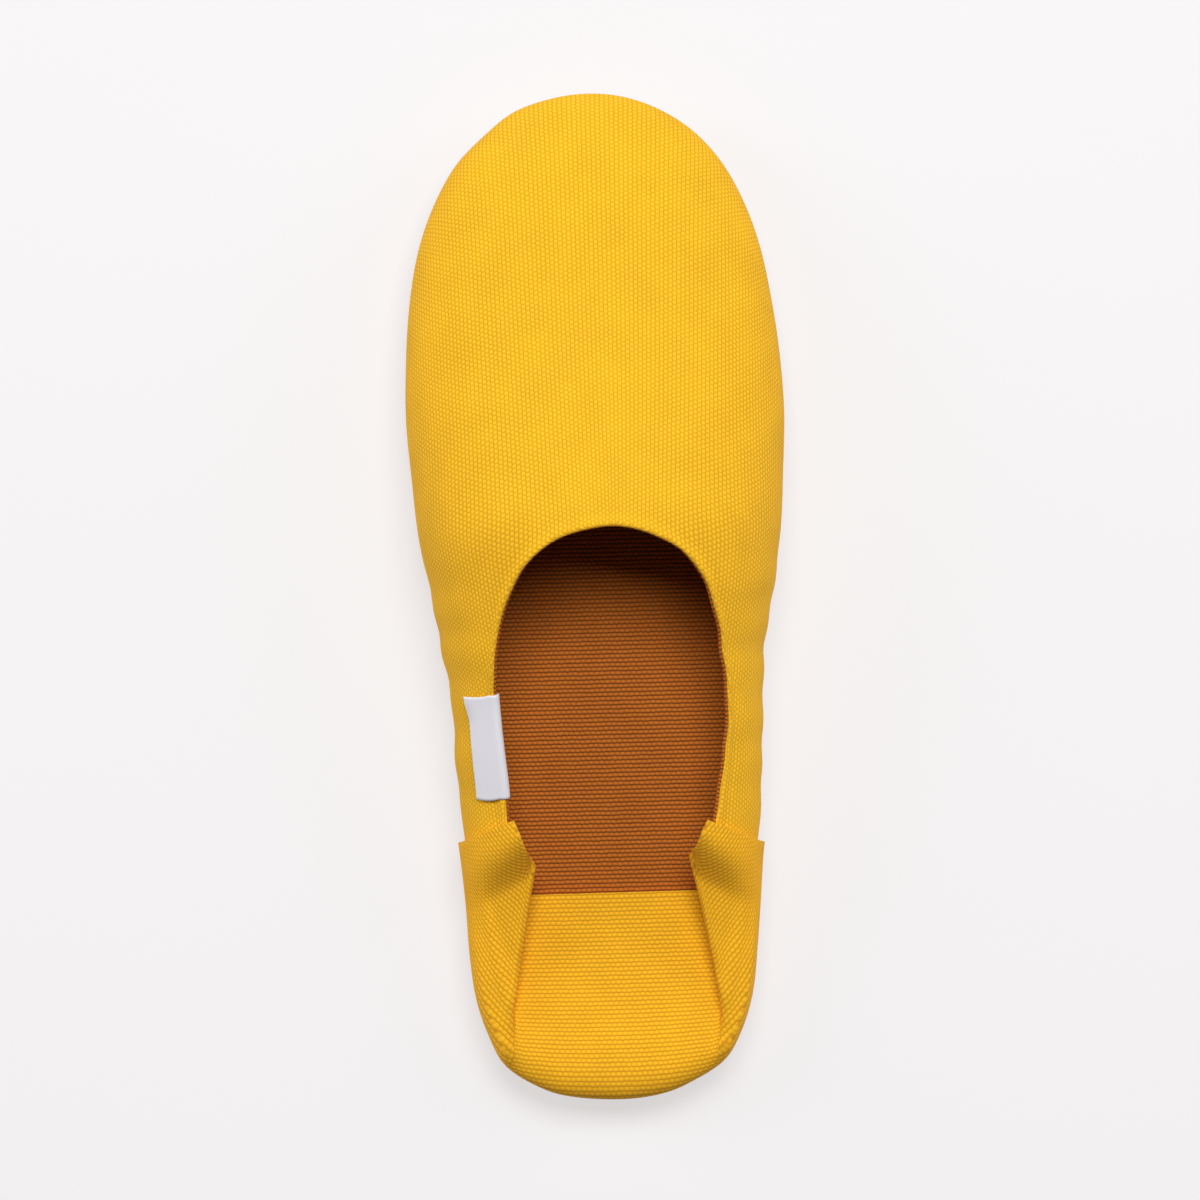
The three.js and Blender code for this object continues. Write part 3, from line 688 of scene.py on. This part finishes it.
edge_round = heel_cloth.modifiers.new("turned edge", "BEVEL")
edge_round.width, edge_round.segments = 0.55 * MM, 3
edge_round.limit_method, edge_round.angle_limit = "ANGLE", math.radians(60)
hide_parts("heel_cloth")

# %% [markdown]
# ## Insole and outsole
#
# Both are flat pads with the foot's outline. A ring of edges is extruded again and again: out along the
# bottom, up the side, and in over the top to the middle. An outline that is filled and thickened would
# leave a plain top with nothing to shape. These rings leave points wherever the pad should swell.

# %% A pad from rings
RING_TURNS = np.linspace(0, math.pi, 97)
SPINE = (34, 222)  # the middle line that the rings shrink towards, along y


def ring(inset, share=1.0):
    """The foot's outline drawn in by inset, then drawn towards its middle line until share of it is left."""
    halves = []
    for side, turns in (("inner", RING_TURNS), ("outer", RING_TURNS[::-1][1:-1])):
        at, out = edge_point(side, turns)
        at = at - out * inset(at[:, 1])[:, None]
        spine_y = np.clip(at[:, 1], *SPINE)
        turn = turn_at(spine_y)
        spine = np.stack([(reach["inner"](turn) - reach["outer"](turn)) / 2, spine_y], -1)
        halves.append(mix(spine, at, share))
    return np.concatenate(halves)


def pad(name, inset, section, layers, shape=None):
    """section lists each ring's extra inset and height, from below up to the rim of the top."""
    low, high = section[0], section[-1]
    rings = [(*low, share) for share in TOP_SHARES[::-1]] + [(*step, 1.0) for step in section]
    rings += [(*high, share) for share in TOP_SHARES]
    mesh = bmesh.new()
    bmesh.ops.create_circle(mesh, cap_ends=False, segments=2 * (len(RING_TURNS) - 1), radius=1)
    mesh.verts.ensure_lookup_table()
    order = {vert: number for number, vert in enumerate(mesh.verts)}
    bottom = edges = list(mesh.edges)
    for step, (more, height, share) in enumerate(rings):
        if step:
            grown = bmesh.ops.extrude_edge_only(mesh, edges=edges)["geom"]
            edges = [item for item in grown if isinstance(item, bmesh.types.BMEdge)]
            fresh = [item for item in grown if isinstance(item, bmesh.types.BMVert)]
            order = {vert: next(order[end] for edge in vert.link_edges for end in edge.verts if end in order)
                     for vert in fresh}
        plan = ring(lambda y, more=more: inset(y) + more, share)
        points = np.concatenate([plan, (height + lift(plan[:, 1]))[:, None]], 1)
        if shape is not None and step >= len(TOP_SHARES) + len(section):
            points[:, 2] += shape(points[:, 0], points[:, 1])
        points = to_frame(points)
        for vert, number in order.items():
            vert.co = points[number]
    bmesh.ops.holes_fill(mesh, edges=bottom, sides=0)
    bmesh.ops.holes_fill(mesh, edges=edges, sides=0)
    bmesh.ops.recalc_face_normals(mesh, faces=mesh.faces)
    uv = mesh.loops.layers.uv.new("cloth")
    for face in mesh.faces:
        face.smooth = True
        for loop in face.loops:
            loop[uv].uv = loop.vert.co.xy / MM
    return finish_piece(name, mesh, layers)


# %% Cut the insole and the outsole
TOP_SHARES = (0.97, 0.93, 0.88, 0.81, 0.72, 0.61, 0.48, 0.34, 0.2, 0.06)


def insole_top(x, y):
    """The pad is a little proud in the middle, and its cloth is slightly uneven."""
    swell = 0.35 * np.cos(np.clip(x / 38, -1.5, 1.5)) + 0.12 * np.sin(y / 13 + x / 21)
    return swell - 0.25


SNUG = TUCK + UPPER_WALL + 0.9
WIDER = 2.2  # at the heel, where no upper stands between the pad and the heel cloth
insole = pad("insole_pad", lambda y: SNUG - WIDER * (1 - smooth(46, 60, y)),
             [(0.6, SEAT), (0, 4.6), (-0.8, 7.7), (-0.5, 8.5), (0, 8.95), (0.6, 9.2), (1.2, INSOLE_TOP)],
             [brown_canvas], insole_top)
outsole = pad("outsole_sheet", lambda y: SOLE_TUCK - HEEL_PROUD * (1 - smooth(58, 76, y)),
              [(1.1, 0), (0.6, 0.12), (0.3, 0.4), (0, 1.1), (0, 2.8), (0.15, 3.2), (0.6, SOLE_THICK)],
              [suede])
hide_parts("insole")
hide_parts("outsole")

# %% [markdown]
# ## The label
#
# A short length of satin ribbon is folded over the collar, as a loop label would be. It is a grid once
# more: its section follows the canvas up, goes round the edge and comes down over the lining. The label
# stays blank.

# %% Fold the ribbon over the collar
RIBBON = {"from": 80.4, "to": 107.6, "out": 8.6, "in": 5.0, "off": 0.5}
OUT_POINTS = 26
label_y = np.linspace(RIBBON["from"], RIBBON["to"], 41)
label_rim = SIGN["outer"] * opening["outer"](collar_turn(label_y))
label_share, _ = share_at(label_rim, label_y)
shares = mix(label_share[:, None], 1, np.linspace(0, 0.9, 160)[None])
path = last_point("outer", shares, label_y[:, None])
path_run = run_length(path, 1)
slope = np.gradient(path, axis=1)
slope /= np.linalg.norm(slope, axis=-1, keepdims=True)
skyward = np.cross(slope, np.gradient(path, label_y, axis=0))
skyward *= np.sign(skyward[..., 2:])
skyward /= np.linalg.norm(skyward, axis=-1, keepdims=True)
label_rows = []
for i in range(len(label_y)):
    def on_path(distance, off):
        at = [np.interp(distance, path_run[i], path[i, :, axis]) for axis in range(3)]
        up = [np.interp(distance, path_run[i], skyward[i, :, axis]) for axis in range(3)]
        return np.array(at) + off * np.array(up)

    start, up, back = path[i, 0], skyward[i, 0], -slope[i, 0]
    end = i / (len(label_y) - 1)
    lift_up = 1.3 * smooth(0.72, 1, end)
    outer_run = [on_path(distance, RIBBON["off"] + lift_up * smooth(4.5, RIBBON["out"], distance))
                 for distance in np.linspace(RIBBON["out"], 0.1, OUT_POINTS)]
    wrap = [start - up * ROLL + (ROLL + RIBBON["off"]) * (math.cos(a) * up + math.sin(a) * back)
            for a in np.radians(np.linspace(15, 165, 11))]
    inner_run = [start - up * (2 * ROLL + RIBBON["off"]) - back * distance
                 for distance in np.linspace(0.1, RIBBON["in"], 9)]
    label_rows.append(outer_run + wrap + inner_run)
label_grid = np.array(label_rows)
bow = np.linspace(-1, 1, OUT_POINTS)[None] ** 2
label_grid[:, :OUT_POINTS, 1] += 0.5 * bow - 0.3
label_u = np.repeat(label_y[:, None], label_grid.shape[1], 1)
label_map = np.stack([label_u, run_length(label_grid, 1)], -1)
label = lay_cloth("ribbon_label", label_grid, label_map, [ribbon], wall=0.35, offset=0)
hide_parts("label")

# %% Ride with the root body
for piece in (upper_canvas, upper_lining, heel_cloth, insole, outsole, label):
    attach(piece, "root")

# %% [markdown]
# ## Light, floor and camera
#
# The light is one large soft source above, a little towards the toe, with a weaker one at each side, in a
# white room. One small or low light would be simpler, but it would put hard shadows into the collar and
# beside the shoe. The floor gives a little light of its own, as a lit table does.

# %% A pale floor: an opal sheet lit from below, so that little shadow falls on it
floor_mesh = bmesh.new()
bmesh.ops.create_grid(floor_mesh, x_segments=1, y_segments=1, size=9)
opal, _, opal_shader = new_material("opal acrylic sheet, backlit")
opal_shader.inputs["Base Color"].default_value = linear("#8c8b8b")
opal_shader.inputs["Roughness"].default_value = 0.9
opal_shader.inputs["Emission Color"].default_value = linear("#f6f4f5")
opal_shader.inputs["Emission Strength"].default_value = 0.68
floor = finish_piece("floor", floor_mesh, [opal])


# %% A large soft light towards the toe, a soft one at each side, and a dim white room
def soft_box(name, place, wide, tall, power):
    data = bpy.data.lights.new(name, "AREA")
    data.shape, data.size, data.size_y, data.energy = "RECTANGLE", wide, tall, power
    light = bpy.data.objects.new(name, data)
    light.location = place
    light.rotation_euler = (Vector((0, 0.02, 0)) - Vector(place)).to_track_quat("-Z", "Y").to_euler()
    bpy.context.scene.collection.objects.link(light)


soft_box("main soft box", (0.13, 0.66, 1.5), 1.0, 0.7, 24.9)
soft_box("left soft box", (-1.2, 0.5, 0.5), 0.5, 1.2, 7.5)
soft_box("right soft box", (1.2, 0.5, 0.5), 0.5, 1.2, 5.5)
room = bpy.data.worlds.new("white room")
bpy.context.scene.world = room
room.use_nodes = True
room.node_tree.nodes["Background"].inputs["Color"].default_value = (1, 1, 1, 1)
room.node_tree.nodes["Background"].inputs["Strength"].default_value = 0.07
bpy.context.scene.view_settings.view_transform = "Standard"

# %% The camera looks straight down
camera_data = bpy.data.cameras.new("camera")
camera_data.sensor_width, camera_data.lens = 36, 227.6
camera = bpy.data.objects.new("camera", camera_data)
camera.location = (0, -0.0008, 2.012)
camera.rotation_euler = (0, 0, math.radians(-1.5))
bpy.context.scene.collection.objects.link(camera)
bpy.context.scene.camera = camera
